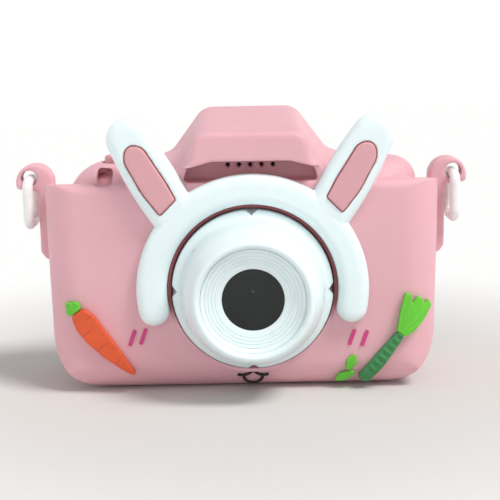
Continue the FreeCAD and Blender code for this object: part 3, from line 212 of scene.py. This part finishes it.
# ---------------------------------------------------------------- materials
class Maker:
    """Builds one node material."""

    def __init__(self, name, colour, roughness=0.5, **settings):
        self.mat = bpy.data.materials.new(name)
        self.mat.use_nodes = True
        self.tree = self.mat.node_tree
        self.shader = self.tree.nodes["Principled BSDF"]
        self.colour = tuple(colour) + (1.0,)
        self.shader.inputs["Base Color"].default_value = self.colour
        self.shader.inputs["Roughness"].default_value = roughness
        for key, value in settings.items():
            self.shader.inputs[key.replace("_", " ")].default_value = value
        self.roughness = roughness
        self.where = self.tree.nodes.new("ShaderNodeTexCoord").outputs["Object"]
        self.height = None

    def noise(self, scale, detail=4.0, rough=0.55, stretch=None):
        where = self.where
        if stretch:
            mapping = self.tree.nodes.new("ShaderNodeMapping")
            mapping.inputs["Scale"].default_value = stretch
            self.tree.links.new(where, mapping.inputs["Vector"])
            where = mapping.outputs["Vector"]
        node = self.tree.nodes.new("ShaderNodeTexNoise")
        node.inputs["Scale"].default_value = scale
        node.inputs["Detail"].default_value = detail
        node.inputs["Roughness"].default_value = rough
        self.tree.links.new(where, node.inputs["Vector"])
        return node.outputs["Fac"]

    def ramp(self, source, low, high, start=0.0, end=1.0):
        """Maps source from start..end to a colour or value from low to high."""
        node = self.tree.nodes.new("ShaderNodeMapRange")
        node.clamp = True
        node.inputs["From Min"].default_value, node.inputs["From Max"].default_value = start, end
        node.inputs["To Min"].default_value, node.inputs["To Max"].default_value = low, high
        self.tree.links.new(source, node.inputs["Value"])
        return node.outputs["Result"]

    def tint(self, factor, other):
        """Mixes the base colour towards another colour by factor."""
        node = self.tree.nodes.new("ShaderNodeMix")
        node.data_type = "RGBA"
        self.tree.links.new(factor, node.inputs["Factor"])
        current = self.shader.inputs["Base Color"]
        if current.is_linked:
            self.tree.links.new(current.links[0].from_socket, node.inputs["A"])
        else:
            node.inputs["A"].default_value = self.colour
        node.inputs["B"].default_value = tuple(other) + (1.0,)
        self.tree.links.new(node.outputs["Result"], current)
        return self

    def vary_roughness(self, source, low, high, start=0.3, end=0.7):
        self.tree.links.new(self.ramp(source, low, high, start, end), self.shader.inputs["Roughness"])
        return self

    def bump(self, source, distance, strength=1.0):
        node = self.tree.nodes.new("ShaderNodeBump")
        node.inputs["Strength"].default_value = strength
        node.inputs["Distance"].default_value = distance
        self.tree.links.new(source, node.inputs["Height"])
        if self.height:
            self.tree.links.new(self.height, node.inputs["Normal"])
        self.height = node.outputs["Normal"]
        self.tree.links.new(self.height, self.shader.inputs["Normal"])
        return self

    def painted_edge_sheen(self, lighter, amount=0.5):
        """Painted highlight: lightens the colour of convex edges a little, as a sheen along them would look.
        """
        geometry = self.tree.nodes.new("ShaderNodeNewGeometry")
        self.tint(self.ramp(geometry.outputs["Pointiness"], 0.0, amount, 0.52, 0.60), lighter)
        return self


def moulded(name, colour, roughness, grain=0.000012, spread=0.05, **settings):
    """Moulded plastic or silicone: slow colour drift, fine grain and uneven gloss."""
    m = Maker(name, colour, roughness, **settings)
    darker = [c * (1 - spread) for c in colour]
    lighter = [min(1.0, c * (1 + spread)) for c in colour]
    m.tint(m.ramp(m.noise(55.0, 3.0), 0.0, 1.0, 0.40, 0.75), darker)
    m.tint(m.ramp(m.noise(19.0, 2.0), 0.0, 0.8, 0.45, 0.80), lighter)
    m.vary_roughness(m.noise(140.0, 5.0), max(0.02, roughness - 0.07), roughness + 0.08)
    m.bump(m.noise(2600.0, 2.0), grain)
    return m


def painted_shade_seat(name, colour, lit, low, high):
    """Painted shade: deep rose where the band shades the seat, fading by height to the sleeve's own pink
    below it.
    """
    m = moulded(name, colour, 0.6)
    split = m.tree.nodes.new("ShaderNodeSeparateXYZ")
    m.tree.links.new(m.where, split.inputs["Vector"])
    m.tint(m.ramp(split.outputs["Z"], 1.0, 0.0, low * MM, high * MM), lit)
    return m


def silicone(name, colour, roughness=0.5, spread=0.05, scatter=0.12):
    m = moulded(name, colour, roughness, 0.00002, spread)
    m.shader.inputs["Subsurface Weight"].default_value = scatter
    m.shader.inputs["Subsurface Radius"].default_value = (1.0, 0.35, 0.30)
    m.shader.inputs["Subsurface Scale"].default_value = 0.0018
    m.shader.inputs["Specular IOR Level"].default_value = 0.42
    m.bump(m.noise(300.0, 3.0), 0.00003)
    # painted highlight: convex edges a little lighter, as a sheen
    m.painted_edge_sheen([min(1.0, c * 1.12 + 0.02) for c in colour], 0.35)
    return m


def metal(name, colour, roughness):
    m = Maker(name, colour, roughness, Metallic=1.0)
    m.tint(m.ramp(m.noise(400.0, 4.0), 0.0, 0.5, 0.4, 0.7), [c * 0.8 for c in colour])
    m.vary_roughness(m.noise(900.0, 4.0, stretch=(1, 1, 6)), roughness - 0.08, roughness + 0.12)
    m.bump(m.noise(3000.0, 2.0, stretch=(1, 1, 10)), 0.000006)
    return m


def glossy(name, colour):
    """Dark glass or acrylic with faint smears."""
    m = Maker(name, colour, 0.08, IOR=1.38)
    m.tint(m.ramp(m.noise(90.0, 3.0), 0.0, 0.4, 0.5, 0.8), [c * 1.8 + 0.004 for c in colour])
    m.vary_roughness(m.noise(160.0, 5.0, stretch=(1, 1, 2.5)), 0.06, 0.17)
    return m


PINK = (0.76, 0.42, 0.47)
materials = {
    "sleeve_pink": silicone("sleeve_pink", PINK, 0.50),
    "band_white": silicone("band_white", (0.79, 0.90, 0.915), 0.42, 0.02, 0.10),
    "ear_pink": silicone("ear_pink", (0.68, 0.36, 0.39), 0.55),
    "carrot_orange": silicone("carrot_orange", (0.72, 0.10, 0.025), 0.42, 0.16),
    "leaf_green": silicone("leaf_green", (0.13, 0.56, 0.035), 0.40, 0.14),
    "stem_green": silicone("stem_green", (0.045, 0.235, 0.075), 0.42, 0.14),
    "cheek_magenta": moulded("cheek_magenta", (0.62, 0.05, 0.22), 0.6),
    "mouth_black": moulded("mouth_black", (0.02, 0.015, 0.013), 0.55),
    "lens_white": moulded("lens_white", (0.77, 0.88, 0.895), 0.32, 0.000006, 0.02),
    "lens_dark": glossy("lens_dark", (0.014, 0.016, 0.016)),
    "case_pink": moulded("case_pink", (0.60, 0.28, 0.31), 0.35),
    "button_white": moulded("button_white", (0.86, 0.86, 0.85), 0.30, 0.000006, 0.02),
    "screen_black": glossy("screen_black", (0.006, 0.006, 0.008)),
    "clear_window": glossy("clear_window", (0.008, 0.008, 0.010)),
    "panel_grey": moulded("panel_grey", (0.05, 0.055, 0.065), 0.25),
    "metal": metal("metal", (0.62, 0.62, 0.61), 0.28),
    "board_green": moulded("board_green", (0.008, 0.12, 0.045), 0.35, 0.00003, 0.2),
    "chip_black": moulded("chip_black", (0.015, 0.015, 0.016), 0.5, 0.00002, 0.2),
    "flex_amber": moulded("flex_amber", (0.42, 0.16, 0.015), 0.3, 0.00001, 0.1),
    "battery_silver": metal("battery_silver", (0.55, 0.56, 0.58), 0.38),
    "foam_grey": moulded("foam_grey", (0.05, 0.05, 0.05), 0.9, 0.0001, 0.3),
    "diffuser_white": moulded("diffuser_white", (0.75, 0.76, 0.78), 0.5),
    "light_lens": moulded("light_lens", (0.45, 0.62, 0.50), 0.25),
    "card_black": moulded("card_black", (0.012, 0.012, 0.014), 0.4),
    "deep_rose": moulded("deep_rose", (0.33, 0.085, 0.095), 0.6),
    # painted shade: deep rose under the band, the sleeve's pink lower down
    "seat_painted_shade": painted_shade_seat("seat_painted_shade", (0.33, 0.085, 0.095), PINK, 16.5, 21.5),
    "mark_rose": moulded("mark_rose", (0.60, 0.22, 0.27), 0.5),
    "pupil": moulded("pupil", (0.045, 0.05, 0.055), 0.2),
    "screen_line": moulded("screen_line", (0.035, 0.035, 0.04), 0.3),
}
slot_of = {s["node"]: s["material_slot"] for s in frame["record"]["subparts"]}


def paint(obj, slot, material=None):
    obj.data.materials.clear()
    obj.data.materials.append((material or materials[slot]).mat)


for name, obj in nodes.items():
    paint(obj, slot_of[name])


# ---------------------------------------------------------------- mesh tools
def new_object(name, mesh, body, slot, replaced=(), smooth=True, material=None):
    obj = bpy.data.objects.new(name, mesh)
    scene.collection.objects.link(obj)
    for p in mesh.polygons:
        p.use_smooth = smooth
    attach(obj, body)
    if replaced:
        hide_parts(*replaced)
    paint(obj, slot, material)
    return obj


def evaluated(obj):
    bpy.context.view_layer.update()
    graph = bpy.context.evaluated_depsgraph_get()
    return bpy.data.meshes.new_from_object(obj.evaluated_get(graph))


def moved_points(mesh, change):
    """Moves every vertex by what change returns for the (n, 3) array of places, in metres."""
    places = np.empty(len(mesh.vertices) * 3)
    mesh.vertices.foreach_get("co", places)
    places = places.reshape(-1, 3)
    normals = np.empty(len(mesh.vertices) * 3)
    mesh.vertices.foreach_get("normal", normals)
    places = places + change(places, normals.reshape(-1, 3))
    mesh.vertices.foreach_set("co", places.reshape(-1))
    mesh.update()


def softened(node, voxel, rounds, name, shape=None, body="camera"):
    """A copy of a CAD node with every edge rounded as moulded rubber is, and shape's detail added."""
    bm = bmesh.new()
    bm.from_mesh(nodes[node].data)
    bmesh.ops.remove_doubles(bm, verts=bm.verts, dist=1e-6)
    mesh = bpy.data.meshes.new(name)
    bm.to_mesh(mesh)
    bm.free()
    work = bpy.data.objects.new(name + "_work", mesh)
    scene.collection.objects.link(work)
    remesh = work.modifiers.new("remesh", "REMESH")
    remesh.mode, remesh.voxel_size = "VOXEL", voxel
    smooth = work.modifiers.new("smooth", "SMOOTH")
    smooth.factor, smooth.iterations = 0.5, rounds
    result = evaluated(work)
    bpy.data.objects.remove(work)
    result.name = name
    if shape:
        moved_points(result, shape)
    return new_object(name, result, body, slot_of[node], [node])


def smooth_line(points, steps=6):
    """A smooth line through the points, with steps pieces between each two."""
    p = np.array(points, float)
    p = np.vstack([2 * p[0] - p[1], p, 2 * p[-1] - p[-2]])
    found = []
    for i in range(1, len(p) - 2):
        for t in np.arange(steps) / steps:
            a, b, c, d = p[i - 1:i + 3]
            found.append(0.5 * (2 * b + (c - a) * t + (2 * a - 5 * b + 4 * c - d) * t * t
                                + (3 * b - a - 3 * c + d) * t ** 3))
    found.append(p[-2])
    return [tuple(f) for f in found]


def lathe(name, profile, body, slot, replaced=(), turns=256, reshape=None, material=None):
    """Turns a closed (radius, y) profile in mm about the lens axis."""
    mesh = bpy.data.meshes.new(name)
    bm = bmesh.new()
    rings = []
    for r, y in profile:
        if r < 1e-6:
            rings.append([bm.verts.new((lens_x, y * MM, lens_z))])
            continue
        ring = []
        for k in range(turns):
            angle = 2 * math.pi * k / turns
            radius = r if reshape is None else reshape(r, y, angle)
            place = (lens_x + radius * MM * math.cos(angle), y * MM, lens_z + radius * MM * math.sin(angle))
            ring.append(bm.verts.new(place))
        rings.append(ring)
    closed = profile[0][0] > 1e-6
    pairs = list(zip(rings, rings[1:])) + ([(rings[-1], rings[0])] if closed else [])
    for a, b in pairs:
        for k in range(turns):
            n = (k + 1) % turns
            if len(a) == 1:
                bm.faces.new((a[0], b[k], b[n]))
            elif len(b) == 1:
                bm.faces.new((a[n], a[k], b[0]))
            else:
                bm.faces.new((a[k], b[k], b[n], a[n]))
    bmesh.ops.recalc_face_normals(bm, faces=bm.faces)
    bm.to_mesh(mesh)
    bm.free()
    mesh.set_sharp_from_angle(angle=math.radians(38))
    return new_object(name, mesh, body, slot, replaced, material=material)


def plate(name, corners, y0, y1, body, slot, material=None):
    """A flat plate: an outline of (x, z) points in mm, between two values of y."""
    bm = bmesh.new()
    front = [bm.verts.new((x * MM, y0 * MM, z * MM)) for x, z in corners]
    back = [bm.verts.new((x * MM, y1 * MM, z * MM)) for x, z in corners]
    bm.faces.new(front)
    bm.faces.new(back)
    for i in range(len(corners)):
        j = (i + 1) % len(corners)
        bm.faces.new((front[i], front[j], back[j], back[i]))
    bmesh.ops.recalc_face_normals(bm, faces=bm.faces)
    mesh = bpy.data.meshes.new(name)
    bm.to_mesh(mesh)
    bm.free()
    return new_object(name, mesh, body, slot, smooth=False, material=material)


# ---------------------------------------------------------------- the lens
lens_x, _, lens_z = middle("lens_window")
barrel_low, barrel_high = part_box("lens_barrel")
BARREL_R = (barrel_high.x - barrel_low.x) / 2 / MM
LIP_Y = barrel_low.y / MM
BARREL_BACK = barrel_high.y / MM
FLANGE_FRONT = 13.6        # depths behind the front lip, mm
CREASE_R = 17.0
LIP_R = 13.2
FACE_Y = -15.0             # front of the sleeve
HOLE_R = BARREL_R + 0.42   # edge of the sleeve's opening
BAND_INNER = 20.12         # inside of the rabbit band
TRIM_R = (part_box("lens_trim_ring")[1].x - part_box("lens_trim_ring")[0].x) / 2 / MM
TRIM_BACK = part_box("lens_trim_ring")[1].y / MM
GLASS_R = 7.1
GLASS_EDGE_R = (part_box("lens_window")[1].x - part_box("lens_window")[0].x) / 2 / MM
GLASS_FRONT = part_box("lens_window")[0].y / MM
GLASS_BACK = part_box("lens_window")[1].y / MM
NOTCH_HALF, NOTCH_DEPTH = 1.45, 1.25
GROOVES = (11.0, 10.2, 9.4, 8.65)


def at_depth(points):
    """(radius, depth behind the lip) to (radius, y)."""
    return [(r, LIP_Y + d) for r, d in points]


def notched(r, y, angle):
    """Pulls the flange's rim in at four small v notches."""
    edge = BARREL_R - NOTCH_DEPTH
    if r <= edge or y > LIP_Y + FLANGE_FRONT + 2.2:
        return r
    nearest = round(angle / (math.pi / 2)) * math.pi / 2
    across = abs(angle - nearest) * BARREL_R
    depth = NOTCH_DEPTH * max(0.0, 1 - across / NOTCH_HALF)
    return min(r, BARREL_R - depth)


def build_barrel():
    """Flange with a soft crease, a full dome and a rolled front lip."""
    flange = [(BARREL_R, FLANGE_FRONT + 0.55), (BARREL_R - 0.12, FLANGE_FRONT + 0.2),
              (BARREL_R - 0.45, FLANGE_FRONT - 0.05), (BARREL_R - 0.9, FLANGE_FRONT - 0.32),
              (BARREL_R - 1.3, FLANGE_FRONT - 0.55), (CREASE_R + 0.3, FLANGE_FRONT - 0.85)]
    dome = [(CREASE_R + 0.05, FLANGE_FRONT - 1.3), (CREASE_R - 0.05, FLANGE_FRONT - 2.2),
            (CREASE_R - 0.5, 8.4), (CREASE_R - 1.25, 5.2), (CREASE_R - 2.15, 2.6), (LIP_R + 0.85, 0.85),
            (LIP_R + 0.35, 0.22), (LIP_R - 0.15, 0.0), (LIP_R - 0.65, 0.16), (TRIM_R + 0.22, 0.7),
            (TRIM_R + 0.06, 1.1)]
    inside = [(TRIM_R + 0.06, 6.0), (CREASE_R - 3.6, 7.5), (CREASE_R - 2.4, FLANGE_FRONT),
              (BARREL_R - 2.5, BARREL_BACK - LIP_Y), (BARREL_R, BARREL_BACK - LIP_Y)]
    profile = smooth_line(flange, 3) + smooth_line(dome, 5) + inside
    lathe("barrel", at_depth(profile), "camera", slot_of["lens_barrel"], ["lens_barrel"], 512, notched)


def groove(r, depth):
    """A fine groove that a turning tool leaves, about the radius r."""
    return [(r + 0.13, depth), (r + 0.05, depth + 0.13), (r - 0.03, depth + 0.15), (r - 0.09, depth + 0.02)]


def build_dish():
    """The dish round the glass: a hollowed wall and four fine grooves."""
    wall = [(TRIM_R, 1.05), (TRIM_R - 0.22, 1.4), (TRIM_R - 0.5, 1.66), (GROOVES[0] + 0.2, 1.85)]
    profile = smooth_line(wall, 4)
    slope = 0.21
    for r in GROOVES:
        profile += groove(r, 1.88 + (GROOVES[0] - r) * slope)
    depth = 1.88 + (GROOVES[0] - GLASS_R) * slope
    profile += [(GLASS_R + 0.25, depth - 0.05), (GLASS_R + 0.08, depth), (GLASS_R, depth + 0.12)]
    profile += [(GLASS_R, GLASS_FRONT - LIP_Y - 0.02), (GLASS_EDGE_R + 0.1, GLASS_FRONT - LIP_Y - 0.02),
                (GLASS_EDGE_R + 0.1, TRIM_BACK - LIP_Y), (TRIM_R, TRIM_BACK - LIP_Y)]
    lathe("dish", at_depth(profile), "camera", slot_of["lens_trim_ring"], ["lens_trim_ring"])


def build_glass():
    """A slightly crowned dark window with the lens's rim and pupil just showing in it."""
    front = GLASS_FRONT
    crown = [(0.0, front - 0.22), (2.0, front - 0.20), (4.0, front - 0.13), (5.6, front - 0.04)]
    rim = [(5.7, front - 0.02), (6.6, front + 0.02),
           (GLASS_R - 0.08, front + 0.06), (GLASS_EDGE_R, front + 0.1)]
    profile = smooth_line(crown, 4) + rim
    profile += [(GLASS_EDGE_R, GLASS_BACK), (0.0, GLASS_BACK)]
    lathe("glass", profile, "camera", slot_of["lens_window"], ["lens_window"])
    pupil = [(lens_x / MM + 0.34 * math.cos(t), lens_z / MM + 2.0 + 0.34 * math.sin(t))
             for t in np.linspace(0, 2 * math.pi, 24, endpoint=False)]
    plate("pupil", pupil, front - 0.24, front - 0.15, "camera", "lens_dark", materials["pupil"])


def build_lens_well():
    """The seat round the flange, in painted shade: deep rose where the band above shades it, fading to pink
    below its arms.
    """
    floor = BARREL_BACK - 0.08
    gap = [(BARREL_R + 0.03, floor), (HOLE_R, floor), (HOLE_R, floor - 0.3), (BARREL_R + 0.03, floor - 0.25)]
    # the gap's floor, with painted shade under the band
    lathe("lens_well", gap, "camera", "sleeve_pink", material=materials["seat_painted_shade"])
    # a thin ring laid on the sleeve's face under the band, only to carry the painted shade
    seat = [(HOLE_R, FACE_Y + 0.10), (BAND_INNER, FACE_Y + 0.10), (BAND_INNER, FACE_Y - 0.05),
            (HOLE_R + 0.05, FACE_Y - 0.05)]
    lathe("lens_seat_shade", seat, "camera", "sleeve_pink", material=materials["seat_painted_shade"])


def build_strap_rings():
    for side in ("left", "right"):
        softened("strap_ring_" + side, 0.16 * MM, 6, "ring_" + side, body="ring_" + side)


# ---------------------------------------------------------------- the reliefs on the front
def axis_of(low_end, high_end):
    """Unit vectors along and across a relief, in the plane of the face, and its length."""
    start, end = np.array(low_end), np.array(high_end)
    length = np.linalg.norm(end - start)
    along = (end - start) / length
    return along, np.array((-along[1], along[0])), length


def carrot_shape(places, normals):
    """Short nicks across the carrot, from alternate sides."""
    low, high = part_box("carrot_root")
    along, across, length = axis_of((low.x, high.z), (high.x, low.z))
    flat = places[:, [0, 2]] - np.array((low.x, high.z))
    a, b = flat @ along / length, flat @ across / MM
    change = np.zeros(len(places))
    for place, side in ((0.20, 1), (0.31, -1), (0.43, 1), (0.53, -1), (0.65, 1), (0.76, -1)):
        gap = (a - place) * length / MM
        reach = np.clip((b * side + 0.2) / 1.2, 0, 1)
        change += np.exp(-(gap / 0.22) ** 2) * reach
    facing = np.clip(-normals[:, 1], 0, 1)
    return -normals * (change * facing * 0.26 * MM)[:, None]


def stalk_shape(places, normals):
    """Rounded rings along the leek's stalk."""
    low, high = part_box("leek_stem")
    along, across, length = axis_of((low.x, low.z), (high.x, high.z))
    flat = places[:, [0, 2]] - np.array((low.x, low.z))
    a, b = flat @ along / length, flat @ across / MM
    rings = np.cos(a * 2 * math.pi * 9.5) * np.exp(-(b / 0.95) ** 2) * np.clip(a * 6, 0, 1)
    facing = np.clip(-normals[:, 1], 0, 1)
    return normals * (rings * facing * 0.24 * MM)[:, None]


def leaf_shape(node, veins, depth):
    """A line of veins that fan out from the lower end of a leaf."""
    low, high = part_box(node)

    def change(places, normals):
        spot = np.array(((low.x + high.x) / 2, low.z)) if node != "leek_leaves" else np.array((low.x, low.z))
        flat = places[:, [0, 2]] - spot
        turn = np.arctan2(flat[:, 1], flat[:, 0])
        far = np.clip(np.linalg.norm(flat, axis=1) / (3 * MM), 0, 1)
        facing = np.clip(-normals[:, 1], 0, 1)
        return normals * (np.cos(turn * veins) * far * facing * depth * MM)[:, None]

    return change


def build_reliefs():
    softened("carrot_root", 0.16 * MM, 26, "carrot", carrot_shape)
    softened("carrot_leaves", 0.14 * MM, 9, "carrot_top", leaf_shape("carrot_leaves", 14, 0.08))
    softened("leek_stem", 0.16 * MM, 26, "leek_stalk", stalk_shape)
    softened("leek_leaves", 0.16 * MM, 9, "leek_top", leaf_shape("leek_leaves", 26, 0.09))
    softened("sprout_leaves", 0.14 * MM, 18, "sprout", leaf_shape("sprout_leaves", 16, 0.06))


# ---------------------------------------------------------------- rabbit ears
def outline_of(node):
    """The (x, z) outline, in mm, of a flat-fronted node, in order."""
    bm = bmesh.new()
    bm.from_mesh(nodes[node].data)
    bmesh.ops.remove_doubles(bm, verts=bm.verts, dist=1e-6)
    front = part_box(node)[0].y
    rim = [e for e in bm.edges if all(abs(v.co.y - front) < 1e-6 for v in e.verts)
           and any(abs(f.normal.y) < 0.5 for f in e.link_faces)]
    following = {}
    for e in rim:
        for a, b in (e.verts, reversed(e.verts)):
            following.setdefault(a, []).append(b)
    start = rim[0].verts[0]
    chain, previous, here = [start], None, start
    while True:
        ahead = [v for v in following[here] if v is not previous][0]
        if ahead is start:
            break
        chain.append(ahead)
        previous, here = here, ahead
    points = [(v.co.x / MM, v.co.z / MM) for v in chain]
    bm.free()
    return points


def grown(points, by):
    """The outline moved outwards by a distance in mm."""
    p = np.array(points)
    area = np.sum(p[:, 0] * np.roll(p[:, 1], -1) - np.roll(p[:, 0], -1) * p[:, 1])
    tangent = np.roll(p, -1, axis=0) - np.roll(p, 1, axis=0)
    tangent /= np.linalg.norm(tangent, axis=1)[:, None]
    normal = np.stack((tangent[:, 1], -tangent[:, 0]), axis=1) * (1 if area > 0 else -1)
    return [tuple(q) for q in p + normal * by]


def build_ears():
    softened("bunny_band", 0.26 * MM, 10, "rabbit_band")
    band_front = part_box("bunny_band")[0].y / MM
    for side in ("left", "right"):
        node = "ear_inlay_" + side
        softened(node, 0.18 * MM, 7, "inner_ear_" + side)
        plate("ear_seat_" + side, grown(outline_of(node), 0.27), band_front + 0.05, band_front + 0.6,
              "camera", "ear_pink", materials["deep_rose"])


# ---------------------------------------------------------------- the back
def build_key_marks():
    """Raised arrowheads on the four direction buttons and a round dot on the middle one."""
    for name, turn in (("up", 90), ("left", 0), ("down", 270), ("right", 180)):
        node = name + "_button"
        low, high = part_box(node)
        x, z, back = (low.x + high.x) / 2 / MM, (low.z + high.z) / 2 / MM, high.y / MM
        c, s = math.cos(math.radians(turn)), math.sin(math.radians(turn))
        shape = [(0.95, 0.0), (-0.45, 0.95), (-0.75, 0.6), (0.15, 0.0), (-0.75, -0.6), (-0.45, -0.95)]
        corners = [(x + a * c - b * s, z + a * s + b * c) for a, b in shape]
        plate("mark_" + name, corners, back - 0.02, back + 0.06, name, slot_of[node], materials["mark_rose"])
    low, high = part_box("ok_button")
    x, z, back = (low.x + high.x) / 2 / MM, (low.z + high.z) / 2 / MM, high.y / MM
    turns = np.linspace(0, 2 * math.pi, 40, endpoint=False)
    dot = [(x + 0.85 * math.cos(t), z + 0.85 * math.sin(t)) for t in turns]
    plate("mark_ok", dot, back - 0.02, back + 0.06, "ok", slot_of["ok_button"], materials["mark_rose"])


def build_screen_border():
    """The printed border seen through the screen's window."""
    low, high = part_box("screen_window")
    inset, line = 2.6, 0.22
    x0, x1, z0, z1 = low.x / MM + inset, high.x / MM - inset, low.z / MM + inset, high.z / MM - inset
    back = high.y / MM
    strips = ((x0, x1, z0, z0 + line), (x0, x1, z1 - line, z1),
              (x0, x0 + line, z0 + line, z1 - line), (x1 - line, x1, z0 + line, z1 - line))
    for i, (a, b, c, d) in enumerate(strips):
        plate("screen_line_%d" % i, [(a, c), (b, c), (b, d), (a, d)], back - 0.03, back + 0.02, "camera",
              "screen_black", materials["screen_line"])


add_camera()
add_stage()
add_world()
add_lights()

softened("silicone_sleeve", 0.38 * MM, 9, "sleeve")
build_ears()
build_barrel()
build_dish()
build_glass()
build_lens_well()
build_strap_rings()
build_reliefs()
build_key_marks()
build_screen_border()
